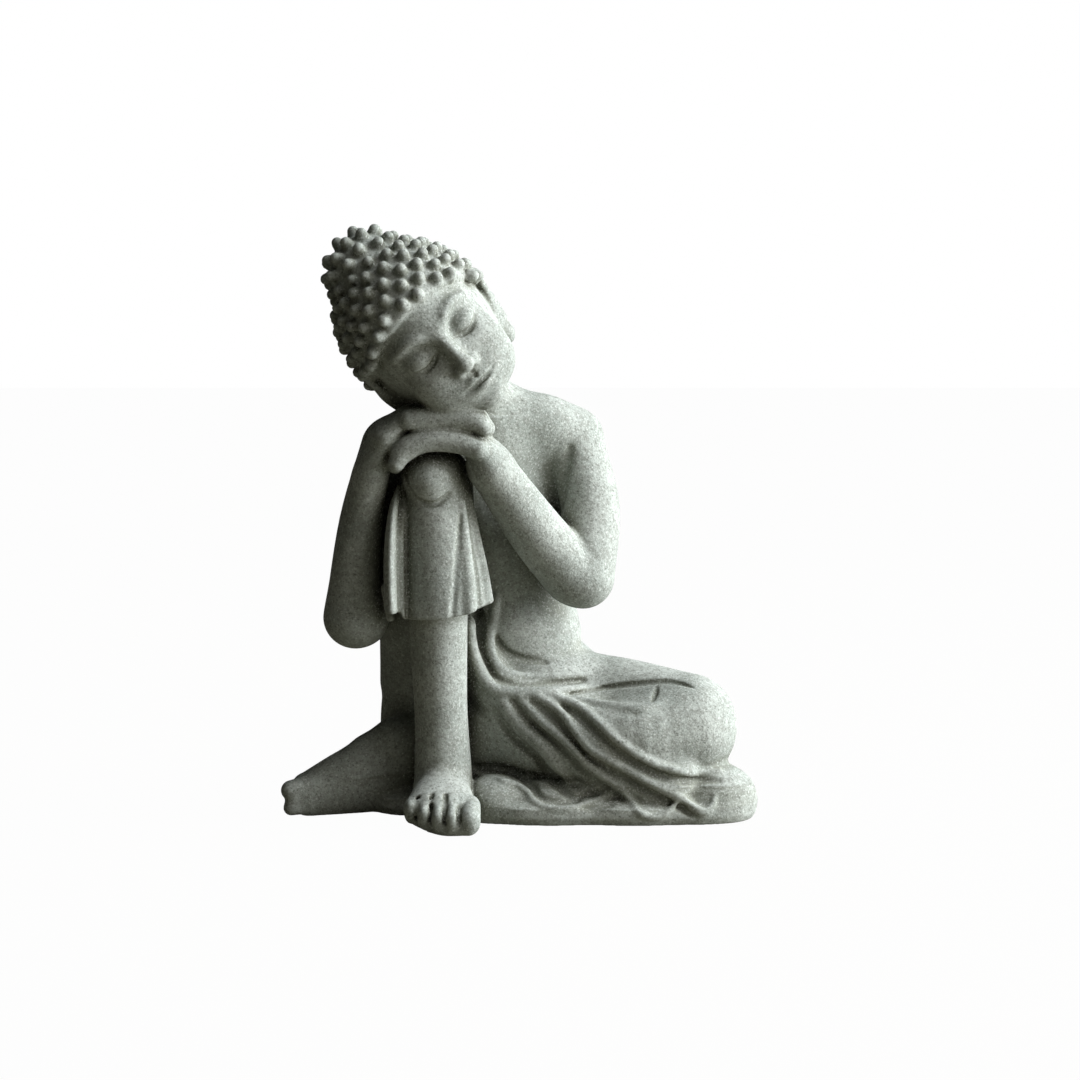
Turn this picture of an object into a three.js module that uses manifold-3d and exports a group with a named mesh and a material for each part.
// Seated figurine that rests its head on its folded hands, in cast stone.
// Millimetres, +Z up, +X to the viewer's right, -Y towards the viewer. Left and right are the figure's own.
// The figure is cast in sections that meet at its natural creases. Steel dowels and a thin bond line
// join them, and felt pads let into the underside keep the stone off the shelf.
import * as THREE from "three";
import { ConvexGeometry } from "three/addons/geometries/ConvexGeometry.js";
import { mergeVertices } from "three/addons/utils/BufferGeometryUtils.js";
import Module from "manifold-3d";

const wasm = await Module();
wasm.setup();

// Joints between the sections
const BOND_LINE = 0.3; // adhesive between two sections, and around a dowel in its hole
const DOWEL_RADIUS = 1.5;
const WAIST_DOWEL_LEFT = [[0, 38, 27], [0, 34, 60]];
const WAIST_DOWEL_RIGHT = [[-14, 38, 27], [-12, 34, 60]];
const SEAT_DOWEL_LEFT = [[12, 42, 4], [12, 42, 24]];
const SEAT_DOWEL_RIGHT = [[-30, 42, 4], [-30, 42, 24]];
const ANKLE_DOWEL_TOE_END = [-58, 13, 12];
const KNEE_DOWEL_Y = -1.2;
const KNEE_DOWEL_DOWN = 10; // how far it reaches below and above the hem
const KNEE_DOWEL_UP = 34;

// Felt pads
const PAD_RADIUS = 5;
const PAD_THICKNESS = 1.6;
const PAD_PROUD = 0.6; // how far a pad stands below the stone
const PAD_CLEARANCE = 0.3;
const FRONT_LEFT_PAD = [62, 4];
const FRONT_MIDDLE_PAD = [16, 2];
const BACK_LEFT_PAD = [42, 44];
const BACK_RIGHT_PAD = [-34, 44];

// Knee, hands and head, which rest on each other from the knee up
const KNEE_TOP = 125.3;
const KNEE_X = -29.5;
const HAND_THICKNESS = 7.8;
const HAND_SEAT = 0.3; // how far each hand is let into what it lies on
const LEFT_HAND_Z = KNEE_TOP + HAND_THICKNESS / 2 - HAND_SEAT;
const RIGHT_HAND_Z = LEFT_HAND_Z + HAND_THICKNESS - HAND_SEAT;
const FINGER_PITCH = 5.1;
const FINGER_RADIUS = 3;
const HAND_Y = -10; // the hands lie edge on, little finger towards the viewer
const LEFT_HEEL = 7; // half thickness of the heel of the hand
const RIGHT_HEEL = 4.9;
// How each hand bends over the knee, as [x, z] from its middle, from heel to fingertips
const LEFT_HAND_ARCH = [[14.5, -2.6], [8.5, -0.5], [1.5, 0.2], [-4.7, -0.6], [-9.6, -3.4], [-12.6, -8.4]];
const RIGHT_HAND_ARCH = [[-15.7, -6.2], [-8, -0.7], [2, 0.2], [9, -0.1], [13.7, -1.2], [17.2, -4]];

// Head, in its own upright frame: x across, y back, z up
const HEAD_X = -33;
const HEAD_Y = -5;
const HEAD_HALF_WIDTH = 22;
const HEAD_HALF_HEIGHT = 29.5;
const HEAD_HALF_DEPTH = 25;
const HEAD_ROLL = 44; // lean towards the viewer's left, degrees
const HEAD_YAW = 8; // turn towards the viewer's right, degrees
const HEAD_NOD = 16; // degrees
const HEAD_SEAT = 2; // how far the cheek is let into the upper hand
const NECK_RADIUS = 10.5;
const HAIR_THICKNESS = 2.2;
const HAIRLINE_FRONT = 13; // height of the hairline over the brow
const HAIRLINE_NAPE = -20;
const TOPKNOT_RADIUS = 13;
const TOPKNOT_RISE = 7; // above the hair
const TOPKNOT_BACK = 4;
const CURL_PITCH = 6;
const CURL_RADIUS = 2.9;
const CURL_HEIGHT = 3.5;
const EAR_HEIGHT = 26;
const EAR_WIDTH = 9;
const EAR_THICKNESS = 5;
const EAR_BACK = 4;
const EAR_TOP = 3;

// Face, on the front of the head
const JAW_NARROWER = 6; // than the head, to each side
const JAW_SHALLOWER = 8;
const JAW_HALF_HEIGHT = 16;
const JAW_FORWARD = 6;
const JAW_DROP = 14;
const CHIN_HALF = [5.5, 4, 4];
const CHIN_DROP = 26;
const CHIN_FORWARD = 20.5;
const EYE_SPACING = 8.8; // from the middle of the face
const LID_HALF = [5, 3, 3];
const LID_PROUD = 0.6;
const BROW_RADIUS = 1.2;
const BROW_LINE = [[2.6, 2.6], [6, 5.8], [10.8, 6.2], [15.4, 3]]; // x and z of one brow
const NOSE_LINE = [[3.5, 0.6, 1.7], [-4, 2.4, 2], [-10.5, 4.6, 2.6]]; // z, how far proud, girth
const LIP_HALF = [4.6, 2, 1.3];
const LIPS_Z = [-17.2, -19.8];
const LIP_PROUD = 3.2;

// Girths, as half widths
const SHOULDER_RADIUS = 10.5;
const LEFT_UPPER_ARM_RADIUS = 9.8;
const RIGHT_UPPER_ARM_RADIUS = 9.5;
const LEFT_ELBOW_RADIUS = 10.3;
const RIGHT_ELBOW_RADIUS = 9.9;
const LEFT_FOREARM_RADIUS = 9.4;
const LEFT_WRIST_RADIUS = 7.5;
const RIGHT_WRIST_RADIUS = 6.1;
const RIGHT_WRIST_DEPTH = 8.2;
const RIGHT_HEEL_DEPTH = 8.8;
const RIGHT_ELBOW_HALF = [10, 9.5, 9.8];
const THIGH_RADIUS = 18.5;
const THIGH_MIDDLE = [16.6, 13.7];
const COVERED_KNEE_RADIUS = 11.5;
const COVERED_KNEE_DROP = 13.8; // below the top of the knee
const COVERED_KNEE_Y = 3;
const FOLDED_THIGH_MIDDLE = [19.1, 17.5];
const FOLDED_KNEE_RADIUS = 17;
const FOLDED_KNEE_DEPTH = 16;
const CALF_RADIUS = 13;
const CALF_DEPTH = 11;
const FOLDED_SHIN_RADIUS = 8.5;
const SHIN_RADIUS = 9.4;
const TOE_RADIUS = 2.6;
const BIG_TOE_RADIUS = 3.8;

// Pose: where the joints of the body lie
const LEFT_SHOULDER = [16, 25, 126.6];
const LEFT_ELBOW = [19.8, 10, 80.8];
const LEFT_WRIST = [-11, HAND_Y + 1, 119.6];
const LEFT_FOREARM_MIDDLE = [4, 2, 97.2];
const RIGHT_SHOULDER = [-45, 20, 124];
const RIGHT_ELBOW = [-57.2, 4, 68];
const RIGHT_ELBOW_POINT = [-55, 5, 68.5];
const RIGHT_WRIST = [-50.2, HAND_Y + 3.5, 118.5];
// Middle, half width and half depth of the right forearm at two places
const RIGHT_FOREARM = [[[-56, 1.5, 86], 8, 8.6], [[-53, -2, 104.5], 6.9, 8]];
const ARM_BULGE_PLACE = 0.45; // along the upper arm
const LEFT_ARM_BULGE = 3.4; // how far the upper arm bows outwards
const RIGHT_ARM_BULGE = 2.6;
const NECK_BASE = [-13, 19, 132];
const COLLAR_STEP = [18, 1, -0.2]; // from the neck's base to the middle of the left collarbone
const NECK_REACH = 0.6; // how far up into the head the neck runs
const RIGHT_HIP = [-32, 38, 42];
const LEFT_HIP = [6, 38, 34];
const FOLDED_KNEE = [55.5, 9, 31];
const LEFT_ANKLE = [-44, 17, 22];
const RIGHT_ANKLE = [-27.3, 1, 16];

// Torso: level sections as [z, centre x, centre y, half width, half depth]
const CHEST_TURN = 22; // towards the viewer's right, degrees
const TORSO_LEVELS = [
  [42, -4, 37, 22, 18],
  [54, -3, 35.5, 21.5, 18],
  [64, -3, 34, 21.5, 17],
  [80, -5, 31, 23.5, 16],
  [98, -10, 27, 27, 17],
  [114, -12.5, 24.5, 30, 17],
  [126, -13, 22.5, 31, 15],
  [134, -13, 21, 28, 12],
];
const BELLY = [0, 27, 59];
const BELLY_HALF = [20, 15, 15];
const BLADE_HALF = [9, 5, 12];
const BLADES = [[-28, 35, 112], [2, 35, 112]];

// Robe over the raised knee
const HEM_HEIGHT = 70;
const HEM_HALF_WIDTH = 18;
const HEM_HALF_DEPTH = 11.2;
const BELL_SHIFT = 1.6; // how far the bell's hem stands to the viewer's right of its top
const BELL_BACK = 1;
const BELL_LEAN = 3;
// Height as a share of the bell's, and the girth there as shares of the hem's
const BELL_PROFILE = [
  [-0.05, 1.05, 1], [0.08, 0.99, 0.98], [0.25, 0.86, 0.93], [0.45, 0.72, 0.88], [0.65, 0.65, 0.88],
  [0.83, 0.62, 0.94], [0.92, 0.56, 0.88], [0.975, 0.41, 0.68], [1, 0.21, 0.33],
];
// Broad front of the robe: x from the knee's middle, z, half width and half depth
const ROBE_FRONT = [[0, 113.5, 10.2, 11], [0.4, 106, 11.6, 12], [0.8, 98, 12.4, 12.8], [1.7, 82, 14.1, 13.9],
  [3, 66, 15.8, 15]];
const ROBE_FRONT_Y = -3;
const KNEECAP = [KNEE_X - 1.4, -7.2, 115];
const KNEECAP_HALF = [8.6, 9.6, 8.4];
const LEFT_PLEAT = [[[-41.2, -6, 112], 1.2, 3], [[-42.9, -9, 104], 1.9, 5.6], [[-43.8, -11.5, 90], 2.3, 7.4],
  [[-43.4, -12.4, 66], 2.6, 8.2]];
// Folds are lines seen from the front, as [x, z]
const RIGHT_FOLD = [[-20.6, 108], [-19.8, 98], [-18.6, 84], [-17.6, 68]];
const RIGHT_FOLD_RADII = [1, 1.6, 2, 2.2];
const RIGHT_FOLD_SINK = 0.9;
const EDGE_FOLD = [[-18, 110], [-16.2, 98], [-13.6, 84], [-11.4, 68]];
const EDGE_FOLD_RADII = [0.8, 1.4, 1.8, 2];
const EDGE_FOLD_SINK = 0.6;
const HEM_LINE = [[-70, 72.5], [-50, 72.5], [-41, 72], [-39.5, 69.4], [-27.5, 69.8], [-18.4, 71.5],
  [-9, 74.6], [10, 77]];
const HEM_CORNER = [[[-45.4, -5, 78], 2.2, 1.8], [[-44.2, -6, 65.6], 1.3, 1.1]];

// Right foot
const FOOT_REACH = -31.5; // y of the big toe's tip
const TOE_PITCH = 4.55;
const TOE_SETBACK = [10, 6.2, 4, 2.8]; // of the small toes' tips, from the outer side
const TOE_ROOT_HEIGHT = [7.4, 8.8, 9.4, 9.2];
const TOE_TIP_HEIGHT = [6.8, 5.4, 4.7, 4.6];
const SMALL_TOE_GIRTHS = [[2.4, 3.6], [2.35, 4]]; // half width and half height, at the root and at the tip
const BIG_TOE_GIRTHS = [[3.4, 4.2], [3.6, 4.4]];
const BIG_TOE_HEIGHTS = [7.6, 4.8];
const BALL_BACK = 13; // from the tips
const BALL_HEIGHT = 7.2;
const FOOT_GIRTHS = [[8.6, 6.6], [10, 8.6], [12.2, 6.6]]; // at the heel, the instep and the ball
const TOE_PADS = [[-36.2, -17, 5.2], [-31.5, -23, 3.6], [-26, -26.6, 2.7], [-18.5, -27.8, 3]];
const TOE_PAD_RADIUS = 2.7;

// Seat and lap
const SEAT_LEVELS = [
  [6, -10, 37, 36, 22],
  [20, -10, 37, 40, 24],
  [34, -10, 37, 40, 23.5],
  [44, -10, 38, 38, 21],
  [52, -10, 39, 33, 17],
  [58, -10, 40, 24, 12],
];
const LAP_CLOTH = [3, 24, 44];
const LAP_CLOTH_HALF = [26, 15, 12];
const LAP_UNDER = [4, 19, 32];
const LAP_UNDER_HALF = [28, 17, 13];
const LAP_ROLL = [[[-19, 14, 62], 6], [[-15, 12, 50], 7.4], [[-4, 9, 38.5], 8.4], [[12, 8, 36.5], 8.2],
  [[24, 14, 37], 7]];
const OUTER_LAP_FOLD = [[-18.6, 64], [-17.8, 56.6], [-15.2, 50], [-12, 45.3], [-8, 43], [2, 42.2], [12, 42.8],
  [20, 43.4]];
const OUTER_LAP_RADIUS = 2.6;
const INNER_LAP_FOLD = [[-9.4, 74], [-10.4, 66], [-11.6, 59.5], [-10.4, 53.4], [-6.5, 49.2], [2, 46.9],
  [12, 46.7], [22, 47]];
const INNER_LAP_RADIUS = 1.8;
const FOLD_SINK = 0.5; // how far the middle of a fold lies below the surface that it runs over

// Folded left leg and its folds, which fall from the lap towards the viewer's right
const SHIN_START = [4, 8, 26];
const SHIN_MIDDLE = [-20, 18, 26];
const CALF_STEP = [-20, -10, -4]; // from the folded knee
const DRAPE = [[[4, 4, 35], 8, 5], [[26, -3, 24], 13, 6], [[50, -5, 12], 11, 6.5]];
const FALLING_FOLDS = [
  [[9, 42], [12, 41.2], [18.6, 38.9], [25.2, 33.8], [31.8, 28.2], [38.5, 23.6], [45.1, 20.2], [51.8, 18.3],
    [58.5, 17.2], [65.2, 17]],
  [[4, 42], [12, 37.4], [17, 31.3], [21.9, 25.6], [28.5, 21.9], [35.1, 18.3], [41.8, 14.4], [51.7, 9.4],
    [58.4, 5.3]],
  [[-2, 41.5], [5.3, 34], [12, 28.9], [17, 24.5], [21.9, 19.4], [28.6, 14.6], [33, 11.4], [35.8, 7.7],
    [38.5, 4.6], [43.5, 3.4], [47.9, 5]],
];
const FALLING_FOLD_RADIUS = 1.7;
const BAND_FOLD = [[-7, 39.5], [-1.4, 31.7], [7, 24.7], [12, 18.3], [17, 13.6], [21.9, 10.5], [28.5, 10.9]];
const BAND_FOLD_RADIUS = 2.8;

// Left foot, on its outer edge
const LEFT_HEEL_GIRTH = [13.6, 8.5];
const LEFT_FOOT_LINE = [[[-53, 15, 12], 13.6, 8.5], [[-63, 11, 9.4], 10.8, 8], [[-73, 8, 6.6], 8, 6.6]];
const LEFT_BIG_TOE = [[-70, 6, 10.8], [-79, 3, 9.2]];
const LEFT_TOE_ROOT = [-73, 5, 3.4]; // of the lowest toe
const LEFT_TOE_TIP = [-79, 3, 3.2];
const LEFT_TOE_ROOT_RISE = 2.4; // from one toe to the next
const LEFT_TOE_TIP_STEP = [0.6, 0, 2.2];

// Ground cloth: the sheet of robe that the figure sits on
const CLOTH_CENTRE = [8, 26];
const CLOTH_OUTLINE = [
  [-18, -3], [-6, -11], [8, -13], [22, -12], [36, -13.5], [50, -12], [62, -11], [73, -6], [78, 4],
  [77, 16], [68, 32], [56, 46], [36, 58], [8, 63], [-22, 62], [-44, 55], [-56, 40], [-58, 20], [-46, 5],
  [-32, 3],
];
const CLOTH_HALF_SPAN = [68, 38];
// Height of each level of the cloth, and how far it stands in from the outline
const CLOTH_LEVELS = [[0, 1.5], [2.5, 0], [5.6, 0.3], [8.5, 6], [10.5, 12], [12.5, 25], [13.6, 32]];
const CLOTH_LUMPS = [
  [[-9.5, 1, 5], [12, 11, 10]],
  [[10, 2, 4], [20, 13, 9]],
  [[63.5, 3, 7], [15.5, 12, 12]],
];
const CUTTER_REACH = 400; // larger than the figure, for blocks that cut a side away
const CUTTER_DEPTH = 40;

const STONE = new THREE.MeshStandardMaterial({ color: 0x9aa197, roughness: 0.92, metalness: 0 });
const STEEL = new THREE.MeshStandardMaterial({ color: 0xb4b6b8, roughness: 0.35, metalness: 1 });
const FELT = new THREE.MeshStandardMaterial({ color: 0x2b2d2a, roughness: 1, metalness: 0 });

const degrees = THREE.MathUtils.degToRad;

// Solids

// A closed mesh as a solid, whichever way its faces were wound.
function solidOf(geometry) {
  const bare = geometry.clone();
  bare.deleteAttribute("normal");
  bare.deleteAttribute("uv");
  const merged = mergeVertices(bare, 1e-5);
  const points = Float32Array.from(merged.attributes.position.array);
  const faces = Uint32Array.from(merged.index.array);
  const corner = (k) => new THREE.Vector3().fromArray(points, 3 * faces[k]);
  let volume = 0;
  for (let k = 0; k < faces.length; k += 3) {
    volume += corner(k).dot(corner(k + 1).cross(corner(k + 2)));
  }
  if (volume < 0) {
    for (let k = 0; k < faces.length; k += 3) {
      [faces[k], faces[k + 1]] = [faces[k + 1], faces[k]];
    }
  }
  return new wasm.Manifold(new wasm.Mesh({ numProp: 3, vertProperties: points, triVerts: faces }));
}

function joined(solids) {
  return solids.reduce((whole, solid) => whole.add(solid));
}

function geometryOf(solid) {
  const { vertProperties, triVerts } = solid.getMesh();
  const geometry = new THREE.BufferGeometry();
  geometry.setAttribute("position", new THREE.BufferAttribute(Float32Array.from(vertProperties), 3));
  geometry.setIndex(new THREE.BufferAttribute(Uint32Array.from(triVerts), 1));
  const flat = geometry.toNonIndexed();
  flat.computeVertexNormals();
  return flat;
}

// The largest of the bodies that a cut leaves, without the slivers beside it.
function mainBody(solid) {
  return solid.decompose().reduce((best, body) => (body.volume() > best.volume() ? body : best));
}

// A closed skin over a stack of rings with the same number of points, with a fan over each end.
function skinned(rings) {
  const sides = rings[0].length;
  const points = rings.flat();
  const faces = [];
  for (let i = 0; i + 1 < rings.length; i++) {
    for (let j = 0; j < sides; j++) {
      const a = i * sides + j;
      const b = i * sides + ((j + 1) % sides);
      faces.push(a, b, b + sides, a, b + sides, a + sides);
    }
  }
  const middle = (ring) => [0, 1, 2].map((axis) => ring.reduce((sum, p) => sum + p[axis], 0) / sides);
  const first = points.push(middle(rings[0])) - 1;
  const last = points.push(middle(rings.at(-1))) - 1;
  const top = (rings.length - 1) * sides;
  for (let j = 0; j < sides; j++) {
    const next = (j + 1) % sides;
    faces.push(first, next, j, last, top + j, top + next);
  }
  const geometry = new THREE.BufferGeometry();
  geometry.setAttribute("position", new THREE.Float32BufferAttribute(points.flat(), 3));
  geometry.setIndex(faces);
  return solidOf(geometry);
}

// A limb: oval sections along a smooth line with domed ends. A station is [point, half width, half
// thickness], and the half width is measured along the given direction.
function limb(stations, grow, { across = [1, 0, 0], sides = 10, steps = 2, domeRings = 2 } = {}) {
  const line = new THREE.CatmullRomCurve3(stations.map(([p]) => new THREE.Vector3(...p)));
  const girth = new THREE.CatmullRomCurve3(stations.map(([, a, b = a]) => new THREE.Vector3(a, b, 0)));
  const count = (stations.length - 1) * steps;
  const ring = (at, ahead, scale) => {
    const centre = line.getPoint(at);
    const along = line.getTangent(at);
    const size = girth.getPoint(at);
    const side = new THREE.Vector3(...across);
    side.addScaledVector(along, -along.dot(side)).normalize();
    const out = new THREE.Vector3().crossVectors(along, side);
    const reach = ahead * (Math.min(size.x, size.y) + grow);
    return Array.from({ length: sides }, (_, j) => {
      const angle = (2 * Math.PI * j) / sides;
      const p = centre.clone().addScaledVector(along, reach);
      p.addScaledVector(side, (size.x + grow) * scale * Math.cos(angle));
      p.addScaledVector(out, (size.y + grow) * scale * Math.sin(angle));
      return p.toArray();
    });
  };
  const rings = [];
  for (let k = domeRings; k > 0; k--) {
    const tilt = (Math.PI / 2) * (k / (domeRings + 0.5));
    rings.push(ring(0, -Math.sin(tilt), Math.cos(tilt)));
  }
  for (let i = 0; i <= count; i++) {
    rings.push(ring(i / count, 0, 1));
  }
  for (let k = 1; k <= domeRings; k++) {
    const tilt = (Math.PI / 2) * (k / (domeRings + 0.5));
    rings.push(ring(1, Math.sin(tilt), Math.cos(tilt)));
  }
  return skinned(rings);
}

// An egg with three half sizes, turned by a matrix or left upright.
function egg(centre, [a, b, c], grow, turn = new THREE.Matrix4(), around = 14) {
  const ball = new THREE.SphereGeometry(1, around, Math.round(around * 0.6)).rotateX(Math.PI / 2);
  ball.scale(a + grow, b + grow, c + grow);
  ball.translate(...centre);
  ball.applyMatrix4(turn);
  return solidOf(ball);
}

// Level oval sections stacked upwards and turned about the upright. A level is [z, centre x, centre y,
// half width, half depth].
function stack(levels, grow, { sides = 18, turn = 0 } = {}) {
  const lowest = levels[0][0];
  const highest = levels.at(-1)[0];
  const [cos, sin] = [Math.cos(degrees(turn)), Math.sin(degrees(turn))];
  return skinned(levels.map(([z, x, y, a, b]) => {
    const level = z + (z === lowest ? -grow : 0) + (z === highest ? grow : 0);
    return Array.from({ length: sides }, (_, j) => {
      const angle = (2 * Math.PI * j) / sides;
      const across = (a + grow) * Math.cos(angle);
      const deep = (b + grow) * Math.sin(angle);
      return [x + across * cos - deep * sin, y + across * sin + deep * cos, level];
    });
  }));
}

function between(a, b, share) {
  return a.map((value, axis) => value + (b[axis] - value) * share);
}

function shifted(p, dx, dy, dz) {
  return [p[0] + dx, p[1] + dy, p[2] + dz];
}

function skinOf(solid) {
  return new THREE.Mesh(geometryOf(solid));
}

// The stations of a fold that lies on a skin. Its line is seen from the front, as [x, z], and each station
// finds its own depth, sunk a little below the surface.
function laid(skin, line, radii, sink) {
  const caster = new THREE.Raycaster();
  const backwards = new THREE.Vector3(0, 1, 0);
  return line.flatMap(([x, z], k) => {
    caster.set(new THREE.Vector3(x, -CUTTER_REACH, z), backwards);
    const [hit] = caster.intersectObject(skin);
    return hit ? [[[x, hit.point.y + sink, z], radii[k] ?? radii.at(-1)]] : [];
  });
}

function fold(stations, grow) {
  return limb(stations, grow, { across: [0, 0, 1], sides: 6, steps: 1, domeRings: 1 });
}

// The forms of the body. Each takes how far its skin is grown, which its neighbours use to give it room.

const HEAD_DROP = Math.hypot(
  HEAD_HALF_HEIGHT * Math.cos(degrees(HEAD_ROLL)),
  HEAD_HALF_WIDTH * Math.sin(degrees(HEAD_ROLL)),
);
const HEAD_CENTRE = [HEAD_X, HEAD_Y, RIGHT_HAND_Z + HAND_THICKNESS / 2 + HEAD_DROP - HEAD_SEAT];
const HEAD_TURN = new THREE.Matrix4()
  .makeTranslation(...HEAD_CENTRE)
  .multiply(new THREE.Matrix4().makeRotationY(degrees(-HEAD_ROLL)))
  .multiply(new THREE.Matrix4().makeRotationZ(degrees(HEAD_YAW)))
  .multiply(new THREE.Matrix4().makeRotationX(degrees(HEAD_NOD)));

// Height of the lower edge of the hair at a distance back from the middle of the head.
function hairline(y) {
  const slope = (HAIRLINE_NAPE - HAIRLINE_FRONT) / (2 * HEAD_HALF_DEPTH);
  return (HAIRLINE_FRONT + HAIRLINE_NAPE) / 2 + slope * y;
}

// Directions spread evenly over a ball, about one curl's pitch apart on the hair.
function curlDirections() {
  const reach = (HEAD_HALF_WIDTH + HEAD_HALF_DEPTH + HEAD_HALF_HEIGHT) / 3 + HAIR_THICKNESS;
  const count = Math.round((4 * Math.PI) / (((CURL_PITCH / reach) ** 2 * Math.sqrt(3)) / 2));
  const goldenAngle = Math.PI * (3 - Math.sqrt(5));
  return Array.from({ length: count }, (_, k) => {
    const z = 1 - (2 * k + 1) / count;
    const level = Math.sqrt(1 - z * z);
    return new THREE.Vector3(level * Math.cos(k * goldenAngle), level * Math.sin(k * goldenAngle), z);
  });
}

// The hair without its curls, in a direction from the middle of the head: the cap or, above it, the topknot.
function hairPoint(direction) {
  const size = [HEAD_HALF_WIDTH, HEAD_HALF_DEPTH, HEAD_HALF_HEIGHT].map((half) => half + HAIR_THICKNESS);
  const [x, y, z] = direction.toArray();
  const capReach = 1 / Math.hypot(x / size[0], y / size[1], z / size[2]);
  const knot = new THREE.Vector3(0, TOPKNOT_BACK, size[2] + TOPKNOT_RISE - TOPKNOT_RADIUS);
  const ahead = direction.dot(knot);
  const inside = TOPKNOT_RADIUS ** 2 - knot.lengthSq() + ahead ** 2;
  const knotReach = inside > 0 ? ahead + Math.sqrt(inside) : 0;
  return direction.clone().multiplyScalar(Math.max(capReach, knotReach));
}

// The number of the direction that a point lies in.
function nearestOf(directions, point) {
  const share = directions.map((direction) => direction.dot(point));
  return share.indexOf(Math.max(...share));
}

// The hair as one shell, a point for each curl and a valley where three curls meet.
function hair(grow) {
  const tips = curlDirections();
  const faces = new ConvexGeometry(tips).attributes.position;
  const corner = (k) => new THREE.Vector3().fromBufferAttribute(faces, k);
  const valleys = [];
  const valleyBeside = new Map();
  const edges = [];
  for (let k = 0; k < faces.count; k += 3) {
    const ends = [0, 1, 2].map((step) => nearestOf(tips, corner(k + step)));
    const valley = tips.length + valleys.length;
    valleys.push(ends.reduce((sum, end) => sum.add(tips[end]), new THREE.Vector3()).normalize());
    for (let step = 0; step < 3; step++) {
      const edge = [ends[step], ends[(step + 1) % 3]];
      valleyBeside.set(edge.join(), valley);
      edges.push(edge);
    }
  }
  const isTip = (k) => k < tips.length;
  const points = [...tips, ...valleys].map((direction, k) => {
    const p = hairPoint(direction);
    const covered = p.z > hairline(p.y) + (isTip(k) ? CURL_RADIUS : 0);
    const raise = covered ? grow + (isTip(k) ? CURL_HEIGHT : 0) : -2 * HAIR_THICKNESS;
    return p.setLength(p.length() + raise).toArray();
  });
  const geometry = new THREE.BufferGeometry();
  geometry.setAttribute("position", new THREE.Float32BufferAttribute(points.flat(), 3));
  geometry.setIndex(edges.flatMap(([from, to]) => {
    const here = valleyBeside.get(`${from},${to}`);
    const beyond = valleyBeside.get(`${to},${from}`);
    return [from, beyond, here];
  }));
  geometry.applyMatrix4(HEAD_TURN);
  return solidOf(geometry);
}

// A point at a place on the front of the skull, some way out of it, in the head's own frame.
function onFace(x, z, proud) {
  const share = 1 - (x / HEAD_HALF_WIDTH) ** 2 - (z / HEAD_HALF_HEIGHT) ** 2;
  return [x, -HEAD_HALF_DEPTH * Math.sqrt(share) - proud, z];
}

function inHead(point) {
  return new THREE.Vector3(...point).applyMatrix4(HEAD_TURN).toArray();
}

// Brows, closed lids, nose, lips and chin.
function face(grow) {
  const feature = (centre, half) => egg(centre, half, grow, HEAD_TURN, 8);
  const sides = [-1, 1].flatMap((side) => [
    feature(onFace(side * EYE_SPACING, 0, LID_PROUD - LID_HALF[1]), LID_HALF),
    fold(BROW_LINE.map(([x, z]) => [inHead(onFace(side * x, z, 0)), BROW_RADIUS]), grow),
  ]);
  const nose = fold(NOSE_LINE.map(([z, proud, girth]) => [inHead(onFace(0, z, proud - girth)), girth]), grow);
  const lips = LIPS_Z.map((z) => feature(onFace(0, z, LIP_PROUD - LIP_HALF[1]), LIP_HALF));
  const chin = feature([0, -CHIN_FORWARD, -CHIN_DROP], CHIN_HALF);
  return joined([...sides, nose, ...lips, chin]);
}

function head(grow) {
  const jaw = egg(
    [0, -JAW_FORWARD, -JAW_DROP],
    [HEAD_HALF_WIDTH - JAW_NARROWER, HEAD_HALF_DEPTH - JAW_SHALLOWER, JAW_HALF_HEIGHT],
    grow,
    HEAD_TURN,
  );
  const ears = [-1, 1].map((side) => egg(
    [side * HEAD_HALF_WIDTH, EAR_BACK, EAR_TOP - EAR_HEIGHT / 2],
    [EAR_THICKNESS / 2, EAR_WIDTH / 2, EAR_HEIGHT / 2],
    grow,
    HEAD_TURN,
    12,
  ));
  const skull = egg([0, 0, 0], [HEAD_HALF_WIDTH, HEAD_HALF_DEPTH, HEAD_HALF_HEIGHT], grow, HEAD_TURN, 18);
  return joined([skull, hair(grow), jaw, face(grow), ...ears]);
}

// A hand laid on its support: a palm and four fingers side by side along an arched line, which starts at
// the wrist or at the heel of the hand.
function hand(line, heel, grow) {
  const half = HAND_THICKNESS / 2;
  const girthAt = (k) => (k < 2 ? heel + (half - heel) * (k / 2) : half);
  const palm = limb(line.slice(0, -1).map((p, k) => [p, 1.75 * FINGER_PITCH, girthAt(k)]), grow, {
    across: [0, 1, 0],
    domeRings: 1,
  });
  const fingers = [-1.5, -0.5, 0.5, 1.5].map((place) => {
    const tip = between(line.at(-2), line.at(-1), Math.abs(place) > 1 ? 0.8 : 1);
    const route = [...line.slice(2, -1), tip].map((p) => shifted(p, 0, place * FINGER_PITCH, 0));
    const stations = route.map((p, k) => [p, FINGER_RADIUS, half * (k + 1 < route.length ? 1 : 0.72)]);
    return limb(stations, grow, { across: [0, 1, 0], sides: 6, steps: 1, domeRings: 1 });
  });
  return joined([palm, ...fingers]);
}

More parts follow.
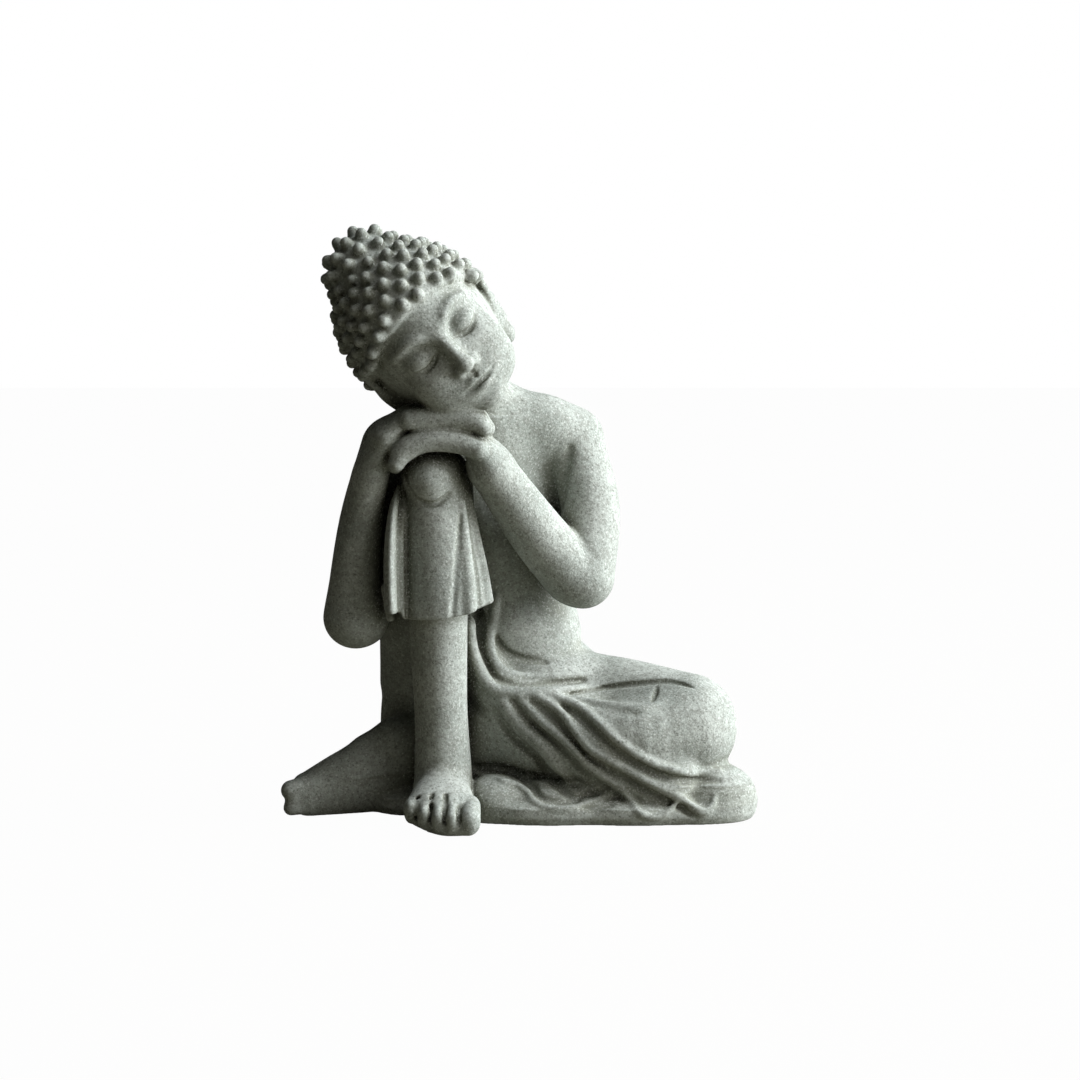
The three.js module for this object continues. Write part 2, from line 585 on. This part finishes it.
function leftArm(grow) {
  const bulge = shifted(between(LEFT_SHOULDER, LEFT_ELBOW, ARM_BULGE_PLACE), LEFT_ARM_BULGE, 0, 0);
  const arch = LEFT_HAND_ARCH.map(([x, z]) => [KNEE_X + x, HAND_Y, LEFT_HAND_Z + z]);
  return joined([
    limb([
      [LEFT_SHOULDER, SHOULDER_RADIUS],
      [bulge, LEFT_UPPER_ARM_RADIUS],
      [LEFT_ELBOW, LEFT_ELBOW_RADIUS],
    ], grow),
    limb([
      [shifted(LEFT_ELBOW, -3.5, -1, 1), LEFT_ELBOW_RADIUS],
      [LEFT_FOREARM_MIDDLE, LEFT_FOREARM_RADIUS],
      [LEFT_WRIST, LEFT_WRIST_RADIUS],
    ], grow, { across: [0, 1, 0] }),
    hand([LEFT_WRIST, ...arch], LEFT_HEEL, grow),
  ]);
}

function rightArm(grow) {
  const bulge = shifted(between(RIGHT_SHOULDER, RIGHT_ELBOW, ARM_BULGE_PLACE), -RIGHT_ARM_BULGE, 0, 0);
  const arch = RIGHT_HAND_ARCH.map(([x, z]) => [KNEE_X + x, HAND_Y, RIGHT_HAND_Z + z]);
  return joined([
    limb([
      [RIGHT_SHOULDER, SHOULDER_RADIUS],
      [bulge, RIGHT_UPPER_ARM_RADIUS],
      [RIGHT_ELBOW, RIGHT_ELBOW_RADIUS],
    ], grow),
    limb([
      [RIGHT_ELBOW, RIGHT_ELBOW_RADIUS],
      ...RIGHT_FOREARM,
      [RIGHT_WRIST, RIGHT_WRIST_RADIUS, RIGHT_WRIST_DEPTH],
      [arch[0], RIGHT_HEEL, RIGHT_HEEL_DEPTH],
    ], grow),
    egg(RIGHT_ELBOW_POINT, RIGHT_ELBOW_HALF, grow),
    hand(arch, RIGHT_HEEL, grow),
  ]);
}

// The raised shin and its foot with five toes.
function rightShinAndFoot(grow) {
  const kneeEnd = [KNEE_X + 0.5, -2, HEM_HEIGHT + 4];
  const ball = [RIGHT_ANKLE[0] - 0.2, FOOT_REACH + BALL_BACK, BALL_HEIGHT];
  const [heelGirth, instepGirth, ballGirth] = FOOT_GIRTHS;
  const shin = limb([
    [shifted(RIGHT_ANKLE, 0, 1, -9), SHIN_RADIUS],
    [RIGHT_ANKLE, SHIN_RADIUS + 0.2],
    [between(RIGHT_ANKLE, kneeEnd, 0.4), SHIN_RADIUS - 0.5],
    [kneeEnd, SHIN_RADIUS + 0.8],
  ], grow);
  const foot = limb([
    [shifted(RIGHT_ANKLE, 0, 5, -9), ...heelGirth],
    [shifted(RIGHT_ANKLE, 0, -8, -7), ...instepGirth],
    [ball, ...ballGirth],
  ], grow);
  const pads = fold(TOE_PADS.map((p) => [p, TOE_PAD_RADIUS]), grow);
  const firstToe = ball[0] - 9.6;
  const bigToeX = firstToe + TOE_SETBACK.length * TOE_PITCH + 1.2;
  const toe = (x, setback, heights, girths) => limb([
    [[x, ball[1] + 1, heights[0]], ...girths[0]],
    [[x, FOOT_REACH + setback, heights[1]], ...girths[1]],
  ], grow, { sides: 8, steps: 1 });
  const smallToes = TOE_SETBACK.map((setback, k) => {
    const heights = [TOE_ROOT_HEIGHT[k], TOE_TIP_HEIGHT[k]];
    return toe(firstToe + k * TOE_PITCH, setback, heights, SMALL_TOE_GIRTHS);
  });
  const bigToe = toe(bigToeX, BIG_TOE_GIRTHS[1][0], BIG_TOE_HEIGHTS, BIG_TOE_GIRTHS);
  return joined([shin, foot, pads, ...smallToes, bigToe]);
}

// The hanging cloth of the robe without its two small folds.
function robeBell(grow) {
  const drop = KNEE_TOP - HEM_HEIGHT;
  const levels = BELL_PROFILE.map(([share, a, b]) => [
    HEM_HEIGHT + share * drop,
    KNEE_X + BELL_SHIFT * (1 - share),
    BELL_BACK - BELL_LEAN * share,
    HEM_HALF_WIDTH * a,
    HEM_HALF_DEPTH * b,
  ]);
  return joined([
    stack(levels, grow),
    limb(ROBE_FRONT.map(([x, z, a, b]) => [[KNEE_X + x, ROBE_FRONT_Y, z], a, b]), grow, { sides: 12 }),
    egg(KNEECAP, KNEECAP_HALF, grow, undefined, 12),
    limb(LEFT_PLEAT, grow, { sides: 8, steps: 1 }),
  ]);
}

// A block that takes away what hangs below the hem.
function belowHem(grow) {
  const outline = HEM_LINE.map(([x, z]) => new THREE.Vector2(x, z - grow));
  outline.push(new THREE.Vector2(HEM_LINE.at(-1)[0], 0), new THREE.Vector2(HEM_LINE[0][0], 0));
  const shape = new THREE.Shape(outline);
  const block = new THREE.ExtrudeGeometry(shape, { depth: CUTTER_REACH, bevelEnabled: false });
  block.translate(0, 0, -CUTTER_REACH / 2);
  block.rotateX(Math.PI / 2);
  return solidOf(block);
}

const BELL_SKIN = skinOf(robeBell(0));
const ROBE_FOLDS = [
  laid(BELL_SKIN, RIGHT_FOLD, RIGHT_FOLD_RADII, RIGHT_FOLD_SINK),
  laid(BELL_SKIN, EDGE_FOLD, EDGE_FOLD_RADII, EDGE_FOLD_SINK),
];

// The robe over the raised knee, hanging down to the hem, and the covered thigh that runs back from it.
function raisedKneeRobe(grow) {
  const knee = [KNEE_X, COVERED_KNEE_Y, KNEE_TOP - COVERED_KNEE_DROP];
  const hanging = joined([robeBell(grow), ...ROBE_FOLDS.map((stations) => fold(stations, grow))]);
  return joined([
    hanging.subtract(belowHem(grow)),
    fold(HEM_CORNER, grow),
    limb([
      [knee, COVERED_KNEE_RADIUS],
      [shifted(between(knee, RIGHT_HIP, 0.45), -1.5, 0, 0), ...THIGH_MIDDLE],
      [RIGHT_HIP, THIGH_RADIUS],
    ], grow),
  ]);
}

// Waist, chest, belly, shoulders and neck, leaning forwards over the raised knee.
function torso(grow) {
  const bellyTurn = new THREE.Matrix4()
    .makeTranslation(...BELLY)
    .multiply(new THREE.Matrix4().makeRotationZ(degrees(CHEST_TURN)));
  return joined([
    stack(TORSO_LEVELS, grow, { turn: CHEST_TURN }),
    egg([0, 0, 0], BELLY_HALF, grow, bellyTurn),
    ...BLADES.map((place) => egg(place, BLADE_HALF, grow, undefined, 10)),
    limb([
      [shifted(RIGHT_SHOULDER, 4, 0, 0), SHOULDER_RADIUS],
      [shifted(NECK_BASE, 0, 1, -1), SHOULDER_RADIUS + 1],
      [shifted(NECK_BASE, ...COLLAR_STEP), SHOULDER_RADIUS + 0.2],
      [LEFT_SHOULDER, SHOULDER_RADIUS - 0.5],
    ], grow, { across: [0, 1, 0], steps: 3 }),
    limb([
      [shifted(NECK_BASE, 0, 2, -8), NECK_RADIUS + 3],
      [shifted(NECK_BASE, -2, -3, 9), NECK_RADIUS],
      [between(NECK_BASE, HEAD_CENTRE, NECK_REACH), NECK_RADIUS],
    ], grow),
  ]);
}

// The folded thigh and knee, the calf that passes behind the raised shin, and the cloth over them.
function bareFoldedLeg(grow) {
  const upright = { across: [0, 0, 1] };
  return joined([
    limb([
      [LEFT_HIP, THIGH_RADIUS],
      [between(LEFT_HIP, FOLDED_KNEE, 0.5), ...FOLDED_THIGH_MIDDLE],
      [FOLDED_KNEE, FOLDED_KNEE_RADIUS, FOLDED_KNEE_DEPTH],
    ], grow, { ...upright, sides: 14 }),
    limb([
      [shifted(FOLDED_KNEE, -1, -2, -3.5), CALF_RADIUS + 2, CALF_RADIUS + 1],
      [shifted(FOLDED_KNEE, ...CALF_STEP), CALF_RADIUS, CALF_DEPTH],
      [SHIN_START, FOLDED_SHIN_RADIUS + 2, FOLDED_SHIN_RADIUS],
      [SHIN_MIDDLE, FOLDED_SHIN_RADIUS],
      [LEFT_ANKLE, FOLDED_SHIN_RADIUS + 1, FOLDED_SHIN_RADIUS],
    ], grow, { ...upright, steps: 3 }),
    limb(DRAPE, grow, upright),
  ]);
}

// The seat and the covered hips, with the rolled edge of the robe round the lap.
function bareSeat(grow) {
  return joined([
    stack(SEAT_LEVELS, grow),
    egg(LAP_CLOTH, LAP_CLOTH_HALF, grow),
    egg(LAP_UNDER, LAP_UNDER_HALF, grow),
    limb(LAP_ROLL, grow, { across: [0, 0, 1] }),
  ]);
}

function groundCloth(grow) {
  const curve = new THREE.CatmullRomCurve3(CLOTH_OUTLINE.map(([x, y]) => new THREE.Vector3(x, y, 0)), true);
  const outline = curve.getPoints(2 * CLOTH_OUTLINE.length).slice(0, -1);
  const rings = CLOTH_LEVELS.map(([z, inset], level) => outline.map((p) => {
    const share = CLOTH_HALF_SPAN.map((half) => 1 + (grow - inset) / half);
    const height = z + (level === 0 ? -grow : grow);
    return [
      CLOTH_CENTRE[0] + (p.x - CLOTH_CENTRE[0]) * share[0],
      CLOTH_CENTRE[1] + (p.y - CLOTH_CENTRE[1]) * share[1],
      height,
    ];
  }));
  const lumps = CLOTH_LUMPS.map(([place, half]) => egg(place, half, grow, undefined, 10));
  return joined([skinned(rings), ...lumps]);
}

const BODY_SKIN = skinOf(joined([torso(0), bareSeat(0), bareFoldedLeg(0), groundCloth(0)]));
const LAP_FOLDS = [
  laid(BODY_SKIN, OUTER_LAP_FOLD, [OUTER_LAP_RADIUS], FOLD_SINK),
  laid(BODY_SKIN, INNER_LAP_FOLD, [INNER_LAP_RADIUS], FOLD_SINK),
];
const LEG_FOLDS = [
  ...FALLING_FOLDS.map((line) => laid(BODY_SKIN, line, [FALLING_FOLD_RADIUS], FOLD_SINK)),
  laid(BODY_SKIN, BAND_FOLD, [BAND_FOLD_RADIUS], FOLD_SINK),
];

function hipsAndLap(grow) {
  return joined([bareSeat(grow), ...LAP_FOLDS.map((stations) => fold(stations, grow))]);
}

function foldedLeftLeg(grow) {
  return joined([bareFoldedLeg(grow), ...LEG_FOLDS.map((stations) => fold(stations, grow))]);
}

// The foot of the folded leg, lying on its outer edge with the big toe uppermost.
function leftFoot(grow) {
  const upright = { across: [0, 0, 1] };
  const [dx, dy, dz] = LEFT_TOE_TIP_STEP;
  const toes = [0, 1, 2].map((k) => limb([
    [shifted(LEFT_TOE_ROOT, 0, 0, k * LEFT_TOE_ROOT_RISE), TOE_RADIUS],
    [shifted(LEFT_TOE_TIP, k * dx, k * dy, k * dz), TOE_RADIUS],
  ], grow, { ...upright, sides: 6, steps: 1 }));
  const [bigToeRoot, bigToeTip] = LEFT_BIG_TOE;
  return joined([
    limb([[shifted(LEFT_ANKLE, 2, 0, -4), ...LEFT_HEEL_GIRTH], ...LEFT_FOOT_LINE], grow, upright),
    limb([
      [bigToeRoot, BIG_TOE_RADIUS],
      [bigToeTip, BIG_TOE_RADIUS - 0.4],
    ], grow, { ...upright, sides: 8, steps: 1 }),
    ...toes,
  ]);
}

// Everything under the floor plane is cut away, so each section that reaches down there ends flat on it.
function aboveFloor(solid) {
  const below = new THREE.BoxGeometry(CUTTER_REACH, CUTTER_REACH, CUTTER_DEPTH);
  below.translate(0, 0, -CUTTER_DEPTH / 2);
  return solid.subtract(solidOf(below));
}

function rodBetween(from, to, radius, extra) {
  const a = new THREE.Vector3(...from);
  const b = new THREE.Vector3(...to);
  const rod = new THREE.CylinderGeometry(radius, radius, a.distanceTo(b) + 2 * extra, 16);
  const along = b.clone().sub(a).normalize();
  rod.applyQuaternion(new THREE.Quaternion().setFromUnitVectors(new THREE.Vector3(0, 1, 0), along));
  const middle = a.add(b).multiplyScalar(0.5);
  rod.translate(middle.x, middle.y, middle.z);
  return solidOf(rod);
}

function disc(x, y, radius, bottom, top) {
  const plate = new THREE.CylinderGeometry(radius, radius, top - bottom, 32);
  plate.rotateX(Math.PI / 2);
  plate.translate(x, y, (bottom + top) / 2);
  return solidOf(plate);
}

// Sections, in the order in which they keep their full form: each gives way to those before it.
const SECTIONS = [
  ["right_shin_and_foot", rightShinAndFoot],
  ["ground_cloth", groundCloth],
  ["left_arm", leftArm],
  ["right_arm", rightArm],
  ["head", head],
  ["torso", torso],
  ["hips_and_lap", hipsAndLap],
  ["raised_knee_robe", raisedKneeRobe],
  ["folded_left_leg", foldedLeftLeg],
  ["left_foot", leftFoot],
];

// Dowels, each across the seam between two sections.
const DOWELS = [
  ["neck_dowel", between(NECK_BASE, HEAD_CENTRE, 0.02), between(NECK_BASE, HEAD_CENTRE, 0.8)],
  ["left_shoulder_dowel", shifted(LEFT_SHOULDER, 3, -2, -1), shifted(LEFT_SHOULDER, -19, 1, -3)],
  ["right_shoulder_dowel", shifted(RIGHT_SHOULDER, -2, 0, -1), shifted(RIGHT_SHOULDER, 20, 2, -1)],
  ["waist_dowel_left", ...WAIST_DOWEL_LEFT],
  ["waist_dowel_right", ...WAIST_DOWEL_RIGHT],
  [
    "raised_knee_dowel",
    [KNEE_X, KNEE_DOWEL_Y, HEM_HEIGHT - KNEE_DOWEL_DOWN],
    [KNEE_X, KNEE_DOWEL_Y, HEM_HEIGHT + KNEE_DOWEL_UP],
  ],
  [
    "raised_thigh_dowel",
    shifted(RIGHT_HIP, 0, 2, -4),
    between(RIGHT_HIP, [KNEE_X, COVERED_KNEE_Y, KNEE_TOP], 0.4),
  ],
  ["folded_thigh_dowel", between(LEFT_HIP, FOLDED_KNEE, 0.15), between(LEFT_HIP, FOLDED_KNEE, 0.85)],
  ["left_ankle_dowel", shifted(LEFT_ANKLE, 10, 2, 0), ANKLE_DOWEL_TOE_END],
  ["seat_dowel_left", ...SEAT_DOWEL_LEFT],
  ["seat_dowel_right", ...SEAT_DOWEL_RIGHT],
];

const PADS = [
  ["right_foot_pad", RIGHT_ANKLE[0], FOOT_REACH / 2],
  ["front_left_pad", ...FRONT_LEFT_PAD],
  ["front_middle_pad", ...FRONT_MIDDLE_PAD],
  ["back_left_pad", ...BACK_LEFT_PAD],
  ["back_right_pad", ...BACK_RIGHT_PAD],
];

const dowels = DOWELS.map(([name, from, to]) => ({
  name,
  solid: rodBetween(from, to, DOWEL_RADIUS, 0),
  hole: rodBetween(from, to, DOWEL_RADIUS + BOND_LINE, BOND_LINE),
}));
const pads = PADS.map(([name, x, y]) => ({
  name,
  solid: disc(x, y, PAD_RADIUS, -PAD_PROUD, PAD_THICKNESS - PAD_PROUD),
  hole: disc(x, y, PAD_RADIUS + PAD_CLEARANCE, -PAD_PROUD, PAD_THICKNESS - PAD_PROUD + PAD_CLEARANCE),
}));
const holes = joined([...dowels, ...pads].map(({ hole }) => hole));

const figurine = new THREE.Group();

function addPiece(name, solid, material) {
  const mesh = new THREE.Mesh(geometryOf(solid), material.clone());
  mesh.name = name;
  figurine.add(mesh);
}

let claimed = null;
for (const [name, form] of SECTIONS) {
  const whole = aboveFloor(form(0));
  const section = claimed ? whole.subtract(claimed) : whole;
  addPiece(name, mainBody(section.subtract(holes)), STONE);
  const room = form(BOND_LINE);
  claimed = claimed ? claimed.add(room) : room;
}
for (const { name, solid } of dowels) {
  addPiece(name, solid, STEEL);
}
for (const { name, solid } of pads) {
  addPiece(name, solid, FELT);
}

// The origin is the middle of the footprint, on the surface that the pads stand on.
const bounds = new THREE.Box3().setFromObject(figurine);
const centre = bounds.getCenter(new THREE.Vector3());
figurine.position.set(-centre.x, -centre.y, -bounds.min.z);
figurine.updateMatrixWorld(true);

export default figurine;
